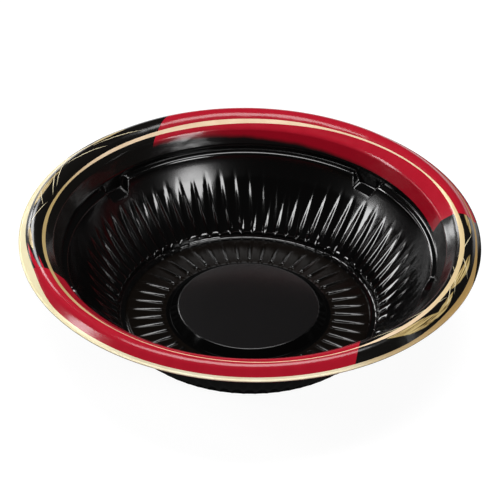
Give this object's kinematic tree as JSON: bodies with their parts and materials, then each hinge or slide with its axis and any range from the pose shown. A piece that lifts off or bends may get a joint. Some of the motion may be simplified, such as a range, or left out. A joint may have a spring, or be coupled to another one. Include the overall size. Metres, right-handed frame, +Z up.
{
  "type": "disposable donburi bowl",
  "caption": "Low round takeaway rice bowl of black formed sheet: fluted wall, ribbed floor with raised plateau, lid seat, wide rolled rim with red, black and gold printed film.",
  "frame": {"origin": "centre of the foot, on the table plane", "axes": "+Z up along the bowl's axis; -Y towards the camera of the picture, so the front of the print faces -Y; +X to the right"},
  "size_m": [0.19, 0.19, 0.0444],
  "materials": {
    "shell": "gloss black, slightly hazed on the floor, matte on the plateau",
    "red_print": "glossy laminated film, crimson",
    "black_print": null,
    "gold_print": "glossy laminated film, gold ink",
    "pale_gold_print": "glossy laminated film, pale gold ink"
  },
  "bodies": {
    "root": {"formed_shell": "shell", "red_print": "red_print", "black_print": "black_print", "inner_gold_line": "gold_print", "outer_gold_band": "pale_gold_print"}
  },
  "joints": []
}
